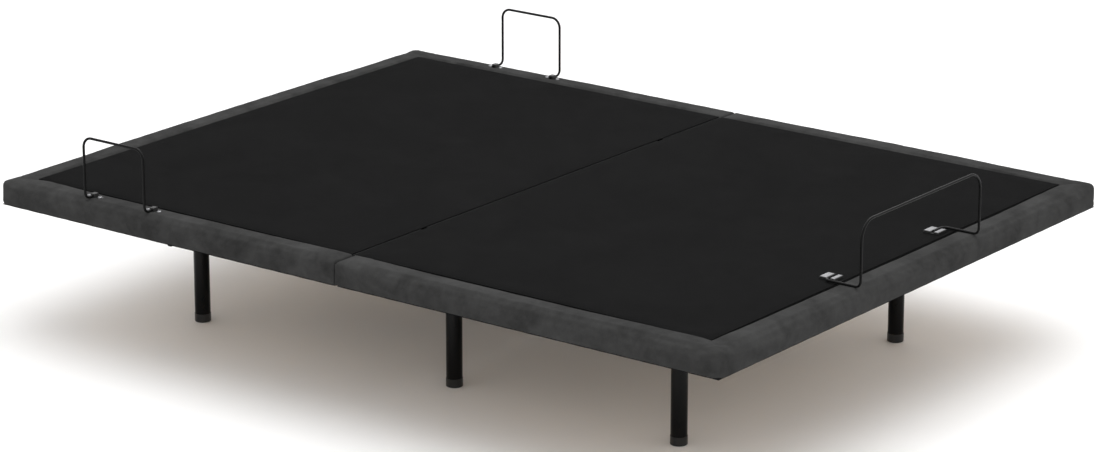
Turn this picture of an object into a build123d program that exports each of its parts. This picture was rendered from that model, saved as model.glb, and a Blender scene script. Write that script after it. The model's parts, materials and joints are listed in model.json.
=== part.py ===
"""Adjustable bed base, queen size: two upholstered deck halves on a steel frame with six legs.

Millimetres. Origin on the floor under the centre of the bed, +Z up, head end at -X, foot end
at +X, the sleeper's left side at +Y. Each deck half hinges beside the centre seam. A lift tube
with two roller arms raises it, driven by a fixed linear actuator through a slotted crank.
"""
import os
from math import atan2, cos, degrees, hypot, radians

from build123d import *

# ---- overall sizes
deck_length = 2032.0
deck_width = 1524.0
deck_height = 363.0
seam_gap = 4.0

# ---- upholstered deck
border_width = 67.0
border_depth = 57.0
border_corner = 25.0
border_edge = 12.0
border_under_edge = 7.0
border_seam_edge = 6.0
border_foam = 12.0
border_top_foam = 18.0
fabric_thick = 3.0
fabric_setback = 2.0
board_thick = 15.0
rail_inset = 82.0
end_rail_width = 70.0
slat_width = 40.0
slat_thick = 20.0

# ---- deck hinges
hinge_setback = 24.0
hinge_depth = 12.0
hinge_pin_radius = 5.0
hinge_running = 0.05
hinge_lobe = 8.0
hinge_pin_head = 2.0
ear_thick = 8.0
ear_foot = 90.0
ear_overlap = 38.0
ear_shoulder = 14.0
cheek_thick = 4.0
cheek_gap = 0.5
flange_thick = 5.0
flange_length = 74.0
flange_width = 34.0
inner_flange_width = 15.0
notch_clearance = 1.5

# ---- base frame
frame_half_width = 431.0
rail_width = 25.0
rail_height = 50.0
rail_base = 228.0
rail_reach = 740.0
tube_wall = 2.0
cross_width = 40.0
cross_height = 40.0
leg_stations = {"head": -690.0, "mid": 66.0, "foot": 683.0}
leg_radius = 18.5
leg_wall = 1.5
leg_cap_radius = 19.2
leg_cap_height = 20.0
leg_cap_floor = 3.0
leg_cap_play = 0.1
plate_thick = 6.0
motor_tube_station = 390.0

# ---- lift tubes, arms and rollers
lift_setback = 70.0
lift_clearance = 3.0
lift_tube_radius = 16.0
lift_tube_wall = 2.5
bush_wall = 3.0
bush_running = 0.08
bush_lip = 2.0
bearing_thick = 8.0
bearing_margin = 3.0
bearing_half_base = 30.0
bearing_shoulder = 10.0
arm_collar = 6.0
roller_station = 600.0
roller_radius = 25.0
roller_width = 24.0
roller_axle_radius = 6.0
roller_running = 0.08
roller_gap = 0.4
beam_offset = 299.0
beam_width = 30.0
beam_height = 30.0
beam_start = 120.0
arm_width = 20.0
arm_height = 30.0
arm_side_gap = 3.0

# ---- actuators
rod_drop = 121.0
crank_offset = 60.0
crank_plate = 5.0
crank_spacing = 30.0
crank_half_width = 17.0
crank_collar = 8.0
crank_corner = 8.0
crank_slot_play = 2.2
crank_slot_margin = 3.0
crank_tip_margin = 9.0
drive_pin_radius = 6.0
rod_radius = 10.0
rod_length = 230.0
rod_head_width = 26.0
rod_head_half_height = 14.0
rod_head_front = 14.0
rod_head_back = 24.0
rod_head_corner = 6.0
pin_overhang = 4.0
tube_bore_play = 0.4
tube_mouth_gap = 10.0
actuator_tube_radius = 20.0
actuator_tube_length = 250.0
actuator_tube_floor = 20.0
gear_length = 64.0
gear_half_width = 34.0
gear_rise = 27.0
gear_corner = 8.0
motor_radius = 30.0
motor_length = 105.0
motor_drop = 62.0
lug_half_width = 11.0
lug_half_height = 14.0
lug_bore_radius = 6.0
bracket_pin_play = 0.1
bracket_thick = 5.0
bracket_side_gap = 1.0
bracket_half_length = 16.0
swing = {"head": 62.52, "foot": 37.2}
stroke = {"head": 142.8, "foot": 80.7}

# ---- mattress retainers
wire_radius = 3.0
retainer_rise = 150.0
side_bar_width = 182.0
side_bar_centre = {"left": -630.0, "right": -651.0}
side_bar_inset = 6.0
side_bar_run = 40.0
foot_bar_width = 476.0
foot_bar_inset = 4.0
foot_bar_run = 91.0
foot_bar_return = 42.0
foot_bar_top_bend = 42.0
side_bar_top_bend = 24.0
low_bend = 13.0
wire_lift = 2.0
clamp_base = 2.0
clamp_play = 0.1
side_clamp_length = 46.0
side_clamp_width = 20.0
side_clamp_corner = 4.0
side_saddle_width = 14.0
side_saddle_wall = 3.0
side_saddle_roof = 2.5
screw_spacing = 32.0
screw_head_radius = 5.5
screw_head_height = 3.5
foot_clamp_rise = 4.5
foot_clamp_wide = 19.0
foot_clamp_narrow = 13.0
foot_clamp_over = 28.8
foot_clamp_past = 6.0
foot_clamp_play = 0.6

# ---- derived places
half_length = deck_length / 2
half_width = deck_width / 2
half_gap = seam_gap / 2
border_base = deck_height - border_depth
board_top = deck_height - fabric_thick
board_base = board_top - board_thick
wood_top = deck_height - border_top_foam
pivot_x = hinge_setback
pivot_z = deck_height - hinge_depth
rail_top = rail_base + rail_height
cross_top = rail_base + cross_height
beam_base = board_base - beam_height
lift_height = board_base - lift_tube_radius - crank_collar - lift_clearance
roller_z = beam_base - roller_gap - roller_radius
inner_y = half_width - border_width
inner_x = half_length - border_width
arm_span = hypot(roller_station - lift_setback, lift_height - roller_z)
arm_drop = degrees(atan2(lift_height - roller_z, roller_station - lift_setback))
rod_z = lift_height - rod_drop
leg_top = rail_base - plate_thick
ear_y = frame_half_width + rail_width / 2 + ear_thick / 2
cheek_y = ear_thick / 2 + cheek_gap + cheek_thick / 2
bearing_y = frame_half_width - rail_width / 2 - bearing_thick / 2
arm_y = beam_offset - roller_width / 2 - arm_side_gap - arm_width / 2
ends = {"head": -1, "foot": 1}
sides = {"left": 1, "right": -1}

os.makedirs("parts", exist_ok=True)


def save(piece, name):
    piece.part.label = name
    export_step(piece.part, f"parts/{name}.step")


def block(x, y, z, mode=Mode.ADD):
    """A box given by its limits along each axis."""
    centre = ((x[0] + x[1]) / 2, (y[0] + y[1]) / 2, (z[0] + z[1]) / 2)
    with Locations(centre):
        Box(x[1] - x[0], y[1] - y[0], z[1] - z[0], mode=mode)


def rod_along_y(x, z, radius, y, mode=Mode.ADD):
    """A round bar across the bed from y[0] to y[1]."""
    with Locations(Location((x, (y[0] + y[1]) / 2, z), (90, 0, 0))):
        Cylinder(radius, y[1] - y[0], mode=mode)


def rod_along_x(y, z, radius, x, mode=Mode.ADD):
    """A round bar along the bed from x[0] to x[1]."""
    with Locations(Location(((x[0] + x[1]) / 2, y, z), (0, 90, 0))):
        Cylinder(radius, x[1] - x[0], mode=mode)


def to_end(end):
    """Pieces of a deck half are drawn at the foot end; those of the head are turned over."""
    if end == "head":
        mirror(about=Plane.YZ, mode=Mode.REPLACE)


# ================= base frame =================

def frame_rail(side):
    y = sides[side] * frame_half_width
    with BuildPart() as rail:
        with BuildSketch(Plane.YZ.offset(-rail_reach)):
            with Locations((y, rail_base + rail_height / 2)):
                RectangleRounded(rail_width, rail_height, tube_wall * 1.5)
                Rectangle(rail_width - 2 * tube_wall, rail_height - 2 * tube_wall, mode=Mode.SUBTRACT)
        extrude(amount=2 * rail_reach)
    return rail


def cross_tubes(stations):
    """Square tubes between the two side rails."""
    reach = frame_half_width - rail_width / 2
    with BuildPart() as tubes:
        with BuildSketch(Plane.XZ.offset(-reach)):
            with Locations(*[(x, rail_base + cross_height / 2) for x in stations]):
                RectangleRounded(cross_width, cross_height, tube_wall * 1.5)
                Rectangle(cross_width - 2 * tube_wall, cross_height - 2 * tube_wall, mode=Mode.SUBTRACT)
        extrude(amount=2 * reach)
    return tubes


def leg(station, side):
    y = sides[side] * frame_half_width
    with BuildPart() as tube:
        with BuildSketch(Plane.XY.offset(leg_cap_floor)):
            with Locations((leg_stations[station], y)):
                Circle(leg_radius)
                Circle(leg_radius - leg_wall, mode=Mode.SUBTRACT)
        extrude(amount=leg_top - leg_cap_floor)
    return tube


for side in sides:
    save(frame_rail(side), f"frame_rail_{side}")
save(cross_tubes((leg_stations["head"], leg_stations["foot"])), "end_cross_tubes")
save(cross_tubes((-motor_tube_station, motor_tube_station)), "motor_cross_tubes")
for station in leg_stations:
    for side in sides:
        save(leg(station, side), f"leg_{station}_{side}")

leg_places = [(x, sign * frame_half_width) for x in leg_stations.values() for sign in (1, -1)]

with BuildPart() as leg_caps:
    with BuildSketch():
        with Locations(*leg_places):
            Circle(leg_cap_radius)
    extrude(amount=leg_cap_height)
    fillet(leg_caps.edges().group_by(Axis.Z)[0], radius=leg_cap_floor * 0.6)
    with BuildSketch(Plane.XY.offset(leg_cap_floor)):
        with Locations(*leg_places):
            Circle(leg_radius + leg_cap_play)
    extrude(amount=leg_cap_height - leg_cap_floor, mode=Mode.SUBTRACT)
save(leg_caps, "leg_caps")

leg_plate_length = 90.0
leg_plate_width = 62.0
leg_plate_corner = 6.0
with BuildPart() as leg_plates:
    with BuildSketch(Plane.XY.offset(leg_top)):
        with Locations(*leg_places):
            RectangleRounded(leg_plate_length, leg_plate_width, leg_plate_corner)
    extrude(amount=plate_thick)
save(leg_plates, "leg_plates")

headboard_plate_width = 110.0
headboard_plate_height = 100.0
headboard_plate_corner = 8.0
headboard_plate_over = 6.0
headboard_plate_base = rail_top - headboard_plate_height + headboard_plate_over
headboard_bolt_radius = 4.5
headboard_bolt_y = 76.0
headboard_bolt_z = 60.0
headboard_face = rail_reach + plate_thick
with BuildPart() as headboard_plates:
    with BuildSketch(Plane.YZ.offset(-headboard_face)):
        for sign in sides.values():
            with Locations((sign * frame_half_width, headboard_plate_base + headboard_plate_height / 2)):
                RectangleRounded(headboard_plate_width, headboard_plate_height, headboard_plate_corner)
                with GridLocations(headboard_bolt_y, headboard_bolt_z, 2, 2):
                    Circle(headboard_bolt_radius, mode=Mode.SUBTRACT)
    extrude(amount=plate_thick)
save(headboard_plates, "headboard_plates")

# Hinge ears: one plate welded on the outside of each side rail carries both deck pivots.
# Between the pivots the plate is cut down, clear of the seam edge of a raised half.
ear_valley = pivot_z - hinge_setback
with BuildPart() as hinge_ears:
    for sign in sides.values():
        with BuildSketch(Plane.XZ.offset(-sign * ear_y - ear_thick / 2)):
            with BuildLine():
                Polyline(
                    (-ear_foot / 2, rail_top - ear_overlap), (ear_foot / 2, rail_top - ear_overlap),
                    (ear_foot / 2, rail_top), (pivot_x + hinge_lobe, rail_top + ear_shoulder),
                    (pivot_x + hinge_lobe, pivot_z), (pivot_x - hinge_lobe, pivot_z),
                    (pivot_x - hinge_lobe, ear_valley), (-pivot_x + hinge_lobe, ear_valley),
                    (-pivot_x + hinge_lobe, pivot_z), (-pivot_x - hinge_lobe, pivot_z),
                    (-pivot_x - hinge_lobe, rail_top + ear_shoulder), (-ear_foot / 2, rail_top), close=True)
            make_face()
            with Locations((pivot_x, pivot_z), (-pivot_x, pivot_z)):
                Circle(hinge_lobe)
            with Locations((pivot_x, pivot_z), (-pivot_x, pivot_z)):
                Circle(hinge_pin_radius + hinge_running, mode=Mode.SUBTRACT)
        extrude(amount=ear_thick)
save(hinge_ears, "hinge_ears")

# Bearing plates on the inside of each side rail carry the two lift tubes.
bush_radius = lift_tube_radius + bush_running + bush_wall
bearing_lobe = bush_radius + bearing_margin
bearing_low = rail_base + bearing_margin
bearing_neck = rail_top - bearing_shoulder
with BuildPart() as tube_bearings:
    for sign in sides.values():
        with BuildSketch(Plane.XZ.offset(-sign * bearing_y - bearing_thick / 2)):
            for x in (-lift_setback, lift_setback):
                with BuildLine():
                    Polyline((x - bearing_half_base, bearing_low), (x + bearing_half_base, bearing_low),
                             (x + bearing_half_base, bearing_neck), (x + bearing_lobe, lift_height),
                             (x - bearing_lobe, lift_height), (x - bearing_half_base, bearing_neck),
                             close=True)
                make_face()
                with Locations((x, lift_height)):
                    Circle(bearing_lobe)
                    Circle(bush_radius, mode=Mode.SUBTRACT)
        extrude(amount=bearing_thick)
save(tube_bearings, "tube_bearings")

with BuildPart() as bearing_bushes:
    for sign in sides.values():
        for x in (-lift_setback, lift_setback):
            inner_face = sign * (bearing_y - bearing_thick / 2)
            outer_face = sign * (bearing_y + bearing_thick / 2)
            lip_face = inner_face - sign * bush_lip
            rod_along_y(x, lift_height, bush_radius, sorted((inner_face, outer_face)))
            rod_along_y(x, lift_height, bush_radius + bush_lip, sorted((lip_face, inner_face)))
            rod_along_y(x, lift_height, lift_tube_radius + bush_running,
                        sorted((lip_face, outer_face)), Mode.SUBTRACT)
save(bearing_bushes, "bearing_bushes")

# Rest posts with rubber pads hold the deck halves level.
pad_height = 9.0
pad_gap = 0.3
pad_radius = 14.0
pad_edge = 2.5
post_radius = 11.0
rest_places = [(leg_stations[end], sign * beam_offset) for end in ends for sign in (1, -1)]
with BuildPart() as rest_posts:
    with BuildSketch(Plane.XY.offset(cross_top)):
        with Locations(*rest_places):
            Circle(post_radius)
    extrude(amount=beam_base - pad_gap - pad_height - cross_top)
save(rest_posts, "rest_posts")

with BuildPart() as rest_pads:
    with BuildSketch(Plane.XY.offset(beam_base - pad_gap - pad_height)):
        with Locations(*rest_places):
            Circle(pad_radius)
    extrude(amount=pad_height)
    fillet(rest_pads.edges().group_by(Axis.Z)[-1], radius=pad_edge)
save(rest_pads, "rest_pads")

# Control box under the head motor tube, its sockets recessed in the face towards the head end.
box_length = 110.0
box_width = 160.0
box_height = 48.0
box_wall = 2.5
box_corner = 6.0
box_centre = (-motor_tube_station - 5, -250.0)
box_face = box_centre[0] - box_length / 2
box_base = rail_base - box_height
socket_wall = 3.0
socket_depth = 12.0
inlet_width = 22.0
inlet_height = 14.0
inlet_y = -45.0
jack_radius = 5.5
jack_y = (5.0, 40.0)
socket_z = box_base + box_height / 2
inlet_place = (box_centre[1] + inlet_y, socket_z)
jack_places = [(box_centre[1] + y, socket_z) for y in jack_y]

with BuildPart() as control_box:
    with BuildSketch(Plane.XY.offset(box_base)):
        with Locations(box_centre):
            RectangleRounded(box_length, box_width, box_corner)
    extrude(amount=box_height)
    with BuildSketch(Plane.XY.offset(box_base)):
        with Locations(box_centre):
            RectangleRounded(box_length - 2 * box_wall, box_width - 2 * box_wall, box_corner - box_wall)
    extrude(amount=box_height - box_wall, mode=Mode.SUBTRACT)
    with BuildSketch(Plane.YZ.offset(box_face)):
        with Locations(inlet_place):
            Rectangle(inlet_width + 2 * socket_wall, inlet_height + 2 * socket_wall)
        with Locations(*jack_places):
            Circle(jack_radius + socket_wall)
    extrude(amount=box_wall, mode=Mode.SUBTRACT)
save(control_box, "control_box")

with BuildPart() as control_box_cover:
    with BuildSketch(Plane.XY.offset(box_base - box_wall)):
        with Locations(box_centre):
            RectangleRounded(box_length, box_width, box_corner)
    extrude(amount=box_wall)
save(control_box_cover, "control_box_cover")

with BuildPart() as control_sockets:
    with BuildSketch(Plane.YZ.offset(box_face)):
        with Locations(inlet_place):
            Rectangle(inlet_width + 2 * socket_wall, inlet_height + 2 * socket_wall)
        with Locations(*jack_places):
            Circle(jack_radius + socket_wall)
    extrude(amount=socket_depth)
    with BuildSketch(Plane.YZ.offset(box_face)):
        with Locations(inlet_place):
            Rectangle(inlet_width, inlet_height)
        with Locations(*jack_places):
            Circle(jack_radius)
    extrude(amount=socket_depth - socket_wall, mode=Mode.SUBTRACT)
save(control_sockets, "control_sockets")


# ================= deck halves =================

wood_side = (half_width - rail_inset, half_width - border_foam)
wood_end = (half_length - border_foam - end_rail_width, half_length - border_foam)
wood_corner = border_corner - border_foam
notch_y = (ear_y - cheek_y - cheek_thick / 2 - notch_clearance,
           ear_y + cheek_y + cheek_thick / 2 + hinge_pin_head + notch_clearance)
notch_x = (half_gap, pivot_x + hinge_lobe + notch_clearance)


def hinge_notches(z):
    """Open the seam edge of a board or slat around the two hinges."""
    for sign in sides.values():
        block(notch_x, sorted((sign * notch_y[0], sign * notch_y[1])), z, Mode.SUBTRACT)


def deck_board(end):
    with BuildPart() as board:
        block((half_gap, inner_x), (-inner_y, inner_y), (board_base, board_top))
        hinge_notches((board_base, board_top))
        to_end(end)
    return board


def deck_fabric(end):
    with BuildPart() as fabric:
        block((half_gap + fabric_setback, inner_x), (-inner_y, inner_y), (board_top, deck_height))
        to_end(end)
    return fabric


def wood_corners(piece):
    """Upright edges at the two outer corners of the wood, rounded to leave even foam."""
    return [edge for edge in piece.edges().filter_by(Axis.Z)
            if abs(edge.center().X - wood_end[1]) < 0.1 and abs(abs(edge.center().Y) - wood_side[1]) < 0.1]


def side_rails(end):
    """Wood rails under the two long borders of a deck half."""
    with BuildPart() as rails:
        for sign in sides.values():
            block((half_gap, wood_end[1]), sorted((sign * wood_side[0], sign * wood_side[1])),
                  (border_base, wood_top))
        fillet(wood_corners(rails), radius=wood_corner)
        to_end(end)
    return rails


def cross_rails(end):
    """The wood end rail, and a flat slat along the seam, both between the side rails."""
    slat_z = (board_base - slat_thick, board_base)
    with BuildPart() as rails:
        block(wood_end, (-wood_side[0], wood_side[0]), (border_base, wood_top))
        block((half_gap, half_gap + slat_width), (-wood_side[0], wood_side[0]), slat_z)
        hinge_notches(slat_z)
        to_end(end)
    return rails


def on_outline(edge):
    """True for an edge that lies on the outer outline of the deck half, seam end left out."""
    middle = edge.position_at(0.5)
    past_side = abs(middle.Y) > half_width - border_corner
    past_end = middle.X > half_length - border_corner
    return (past_side or past_end) and edge.bounding_box().size.length > 1 and middle.X > half_gap + 1


def border(end):
    """Foam and fabric edge round three sides of a deck half, open below over the wood rails."""
    with BuildPart() as edge:
        with BuildSketch(Plane.XY.offset(border_base)):
            with BuildLine():
                Polyline((half_gap, half_width), (half_length, half_width), (half_length, -half_width),
                         (half_gap, -half_width), (half_gap, -inner_y), (inner_x, -inner_y),
                         (inner_x, inner_y), (half_gap, inner_y), close=True)
            make_face()
        extrude(amount=border_depth)
        corners = edge.edges().filter_by(Axis.Z).sort_by(Axis.X)[-2:]
        fillet(corners, radius=border_corner)
        fillet(edge.edges().group_by(Axis.Z)[-1].filter_by(on_outline), radius=border_edge)
        fillet(edge.edges().group_by(Axis.Z)[0].filter_by(on_outline), radius=border_under_edge)
        with BuildPart(mode=Mode.SUBTRACT) as channel:
            block((half_gap, wood_end[1]), (-wood_side[1], wood_side[1]), (border_base, wood_top))
            fillet(wood_corners(channel), radius=wood_corner)
        with BuildSketch(Plane.XZ.offset(-half_width)):
            with Locations((half_gap, deck_height)):
                Rectangle(2 * border_seam_edge, 2 * border_seam_edge)
            with Locations((half_gap + border_seam_edge, deck_height - border_seam_edge)):
                Circle(border_seam_edge, mode=Mode.SUBTRACT)
        extrude(amount=deck_width, mode=Mode.SUBTRACT)
        to_end(end)
    return edge


def lift_beams(end):
    """Steel tracks under the board that the lift rollers run on."""
    with BuildPart() as beams:
        with BuildSketch(Plane.YZ.offset(beam_start)):
            with Locations(*[(sign * beam_offset, board_base - beam_height / 2) for sign in sides.values()]):
                RectangleRounded(beam_width, beam_height, tube_wall * 1.2)
                Rectangle(beam_width - 2 * tube_wall, beam_height - 2 * tube_wall, mode=Mode.SUBTRACT)
        extrude(amount=wood_end[0] - beam_start)
        to_end(end)
    return beams


def hinge_knuckles(end):
    """Two angle brackets at each hinge, one on each side of the ear, screwed under the slat."""
    flange_top = board_base - slat_thick
    with BuildPart() as knuckles:
        for sign in sides.values():
            for outer in (1, -1):
                cheek = sign * ear_y + sign * outer * cheek_y
                with BuildSketch(Plane.XZ.offset(-cheek - cheek_thick / 2)):
                    with Locations((pivot_x, pivot_z)):
                        Circle(hinge_lobe)
                    with Locations((pivot_x, (pivot_z + flange_top - flange_thick) / 2)):
                        Rectangle(2 * hinge_lobe, pivot_z - flange_top + flange_thick)
                    with Locations((pivot_x, pivot_z)):
                        Circle(hinge_pin_radius, mode=Mode.SUBTRACT)
                extrude(amount=cheek_thick)
                width = flange_width if outer == 1 else inner_flange_width
                near = cheek - sign * outer * cheek_thick / 2
                far = near + sign * outer * (cheek_thick + width)
                block((pivot_x - hinge_lobe, pivot_x - hinge_lobe + flange_length), sorted((near, far)),
                      (flange_top - flange_thick, flange_top))
        to_end(end)
    return knuckles


pin_reach = cheek_y + cheek_thick / 2


def hinge_pins(end):
    with BuildPart() as pins:
        for sign in sides.values():
            rod_along_y(pivot_x, pivot_z, hinge_pin_radius,
                        sorted((sign * (ear_y - pin_reach), sign * (ear_y + pin_reach))))
            rod_along_y(pivot_x, pivot_z, hinge_lobe - 1,
                        sorted((sign * (ear_y + pin_reach), sign * (ear_y + pin_reach + hinge_pin_head))))
        to_end(end)
    return pins


for end in ends:
    save(deck_board(end), f"{end}_deck_board")
    save(deck_fabric(end), f"{end}_deck_fabric")
    save(side_rails(end), f"{end}_side_rails")
    save(cross_rails(end), f"{end}_cross_rails")
    save(border(end), f"{end}_border")
    save(lift_beams(end), f"{end}_lift_beams")
    save(hinge_knuckles(end), f"{end}_hinge_knuckles")
    save(hinge_pins(end), f"{end}_hinge_pins")


# ================= lift tubes, arms, cranks and rollers =================

tube_reach = bearing_y + bearing_thick / 2
axle_reach = beam_offset + roller_width / 2 + 2.0


def lift_tube(end):
    with BuildPart() as tube:
        rod_along_y(lift_setback, lift_height, lift_tube_radius, (-tube_reach, tube_reach))
        rod_along_y(lift_setback, lift_height, lift_tube_radius - lift_tube_wall,
                    (-tube_reach, tube_reach), Mode.SUBTRACT)
        to_end(end)
    return tube


def lift_arms(end):
    """Two arms clamped round the lift tube, each with the axle of its roller."""
    tip = (roller_station, roller_z)
    centre = ((lift_setback + tip[0]) / 2, (lift_height + tip[1]) / 2)
    with BuildPart() as arms:
        for sign in sides.values():
            with BuildSketch(Plane.XZ.offset(-sign * arm_y - arm_width / 2)):
                with Locations(Location((*centre, 0), (0, 0, -arm_drop))):
                    SlotCenterToCenter(arm_span, arm_height)
                with Locations((lift_setback, lift_height)):
                    Circle(lift_tube_radius + arm_collar)
                    Circle(lift_tube_radius, mode=Mode.SUBTRACT)
            extrude(amount=arm_width)
            rod_along_y(tip[0], tip[1], roller_axle_radius,
                        sorted((sign * arm_y, sign * axle_reach)))
        to_end(end)
    return arms


def crank(end):
    """Twin plates with a radial slot for the drive pin of the push rod."""
    lean = -swing[end] / 2
    reach = rod_drop / cos(radians(lean))
    slot_near = rod_drop - drive_pin_radius - crank_slot_margin
    slot_far = reach + drive_pin_radius + crank_slot_margin
    middle = (slot_near + slot_far) / 2
    slot_half = drive_pin_radius + crank_slot_play
    tip = slot_far + crank_tip_margin
    y = -ends[end] * crank_offset
    with BuildPart() as plates:
        for offset in (-crank_spacing / 2 - crank_plate / 2, crank_spacing / 2 + crank_plate / 2):
            with BuildSketch(Plane.XZ.offset(-y - offset - crank_plate / 2)):
                with Locations(Location((lift_setback, lift_height, 0), (0, 0, lean - 90))):
                    with Locations((tip / 2 - crank_corner / 2, 0)):
                        RectangleRounded(tip + crank_corner, 2 * crank_half_width, crank_corner)
                    Circle(lift_tube_radius + crank_collar)
                    Circle(lift_tube_radius, mode=Mode.SUBTRACT)
                    with Locations((middle, 0)):
                        SlotOverall(slot_far - slot_near, 2 * slot_half, mode=Mode.SUBTRACT)
            extrude(amount=crank_plate)
        to_end(end)
    return plates


roller_edge = 3.0


def roller(end, side):
    y = sides[side] * beam_offset
    with BuildPart() as wheel:
        rod_along_y(roller_station, roller_z, roller_radius, (y - roller_width / 2, y + roller_width / 2))
        fillet(wheel.edges().filter_by(GeomType.CIRCLE), radius=roller_edge)
        rod_along_y(roller_station, roller_z, roller_axle_radius + roller_running,
                    (y - roller_width / 2, y + roller_width / 2), Mode.SUBTRACT)
        to_end(end)
    return wheel


for end in ends:
    save(lift_tube(end), f"{end}_lift_tube")
    save(lift_arms(end), f"{end}_lift_arms")
    save(crank(end), f"{end}_crank")
    for side in sides:
        save(roller(end, side), f"{end}_roller_{side}")


# ================= actuators =================
# Each actuator lies along the bed and pushes its crank towards its own end of the bed, so its
# motor sits under the other half. Drawn here for the foot end: the rod points towards +X.

def drive_pin_x(end):
    """Rest place of the drive pin: the crank leans towards the other end by half its swing."""
    return lift_setback - stroke[end] / 2


def push_rod(end):
    y = -ends[end] * crank_offset
    x = drive_pin_x(end)
    with BuildPart() as rod:
        rod_along_x(y, rod_z, rod_radius, (x - rod_length, x - rod_head_back / 2))
        block((x - rod_head_back, x + rod_head_front), (y - rod_head_width / 2, y + rod_head_width / 2),
              (rod_z - rod_head_half_height, rod_z + rod_head_half_height))
        fillet(rod.edges().filter_by(Axis.Y), radius=rod_head_corner)
        pin_half = crank_spacing / 2 + crank_plate + pin_overhang
        rod_along_y(x, rod_z, drive_pin_radius, (y - pin_half, y + pin_half))
        to_end(end)
    return rod


def tube_mouth(end):
    """Front end of the actuator tube, just behind the rod's head at rest."""
    return drive_pin_x(end) - rod_head_back - tube_mouth_gap


def actuator_tube(end):
    y = -ends[end] * crank_offset
    mouth = tube_mouth(end)
    with BuildPart() as tube:
        rod_along_x(y, rod_z, actuator_tube_radius, (mouth - actuator_tube_length, mouth))
        rod_along_x(y, rod_z, rod_radius + tube_bore_play,
                    (mouth - actuator_tube_length + actuator_tube_floor, mouth), Mode.SUBTRACT)
        to_end(end)
    return tube


def gear_motor(end):
    """Gear housing behind the tube with the motor hanging under it."""
    y = -ends[end] * crank_offset
    front = tube_mouth(end) - actuator_tube_length
    back = front - gear_length
    lug = -motor_tube_station
    with BuildPart() as motor:
        block((back, front), (y - gear_half_width, y + gear_half_width),
              (rod_z - motor_drop - motor_radius, rod_z + gear_rise))
        fillet(motor.edges().filter_by(Axis.Y), radius=gear_corner)
        rod_along_x(y, rod_z - motor_drop, motor_radius, (front, front + motor_length))
        block((lug - lug_half_height, back + box_wall), (y - lug_half_width, y + lug_half_width),
              (rod_z - lug_half_height, rod_z + lug_half_height))
        rod_along_y(lug, rod_z, lug_bore_radius, (y - lug_half_width, y + lug_half_width), Mode.SUBTRACT)
        to_end(end)
    return motor


# A pair of cheeks under each motor tube holds the rear lug of an actuator on a pin.
with BuildPart() as actuator_brackets:
    for end, sign in ends.items():
        x = -sign * motor_tube_station
        y = -sign * crank_offset
        inner = lug_half_width + bracket_side_gap
        outer = inner + bracket_thick
        for cheek in (-1, 1):
            block((x - bracket_half_length, x + bracket_half_length),
                  sorted((y + cheek * inner, y + cheek * outer)), (rod_z - bracket_half_length, rail_base))
        rod_along_y(x, rod_z, lug_bore_radius - bracket_pin_play,
                    (y - outer - pin_overhang, y + outer + pin_overhang))
save(actuator_brackets, "actuator_brackets")

for end in ends:
    save(push_rod(end), f"{end}_push_rod")
    save(actuator_tube(end), f"{end}_actuator_tube")
    save(gear_motor(end), f"{end}_gear_motor")


# ================= mattress retainers =================

wire_z = deck_height + wire_lift + wire_radius


def bent_wire(points, radii):
    """Round wire bent along straight runs with rounded corners."""
    with BuildPart() as wire:
        with BuildLine() as path:
            FilletPolyline(*points, radius=radii)
        start = path.line @ 0
        with BuildSketch(Plane(origin=start, z_dir=path.line % 0)):
            Circle(wire_radius)
        sweep()
    return wire


def side_retainer(side):
    sign = sides[side]
    x = side_bar_centre[side]
    outer = sign * (half_width - side_bar_inset)
    inner = outer - sign * side_bar_run
    top = deck_height + retainer_rise
    half = side_bar_width / 2
    points = [(x - half, inner, wire_z), (x - half, outer, wire_z), (x - half, outer, top),
              (x + half, outer, top), (x + half, outer, wire_z), (x + half, inner, wire_z)]
    return bent_wire(points, [low_bend, side_bar_top_bend, side_bar_top_bend, low_bend])


def foot_retainer():
    outer = half_length - foot_bar_inset
    inner = outer - foot_bar_run
    top = deck_height + retainer_rise
    half = foot_bar_width / 2
    points = [(inner, half - foot_bar_return, wire_z), (inner, half, wire_z), (outer, half, wire_z),
              (outer, half, top), (outer, -half, top), (outer, -half, wire_z),
              (inner, -half, wire_z), (inner, -half + foot_bar_return, wire_z)]
    return bent_wire(points, [low_bend, low_bend, foot_bar_top_bend, foot_bar_top_bend, low_bend, low_bend])


for side in sides:
    save(side_retainer(side), f"side_retainer_{side}")
save(foot_retainer(), "foot_retainer")

side_clamp_places = [
    (side_bar_centre[side] + half * side_bar_width / 2,
     sides[side] * (half_width - side_bar_inset - side_bar_run + side_clamp_width / 2))
    for side in sides for half in (-1, 1)]

# Each wire end of a side retainer runs through a saddle on a small plate with two screws.
with BuildPart() as side_retainer_clamps:
    with BuildSketch(Plane.XY.offset(deck_height)):
        with Locations(*side_clamp_places):
            RectangleRounded(side_clamp_length, side_clamp_width, side_clamp_corner)
    extrude(amount=clamp_base)
    bore = wire_radius + clamp_play
    wall = bore + side_saddle_wall
    for x, y in side_clamp_places:
        span = (y - side_saddle_width / 2, y + side_saddle_width / 2)
        block((x - wall, x + wall), span, (deck_height + clamp_base, wire_z + bore + side_saddle_roof))
        block((x - bore, x + bore), span, (deck_height + clamp_base, wire_z), Mode.SUBTRACT)
        rod_along_y(x, wire_z, bore, span, Mode.SUBTRACT)
save(side_retainer_clamps, "side_retainer_clamps")

with BuildPart() as side_clamp_screws:
    with BuildSketch(Plane.XY.offset(deck_height + clamp_base)):
        with Locations(*side_clamp_places):
            with GridLocations(screw_spacing, 1, 2, 1):
                Circle(screw_head_radius)
    extrude(amount=screw_head_height)
    fillet(side_clamp_screws.edges().group_by(Axis.Z)[-1], radius=screw_head_height * 0.7)
save(side_clamp_screws, "side_clamp_screws")

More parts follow.
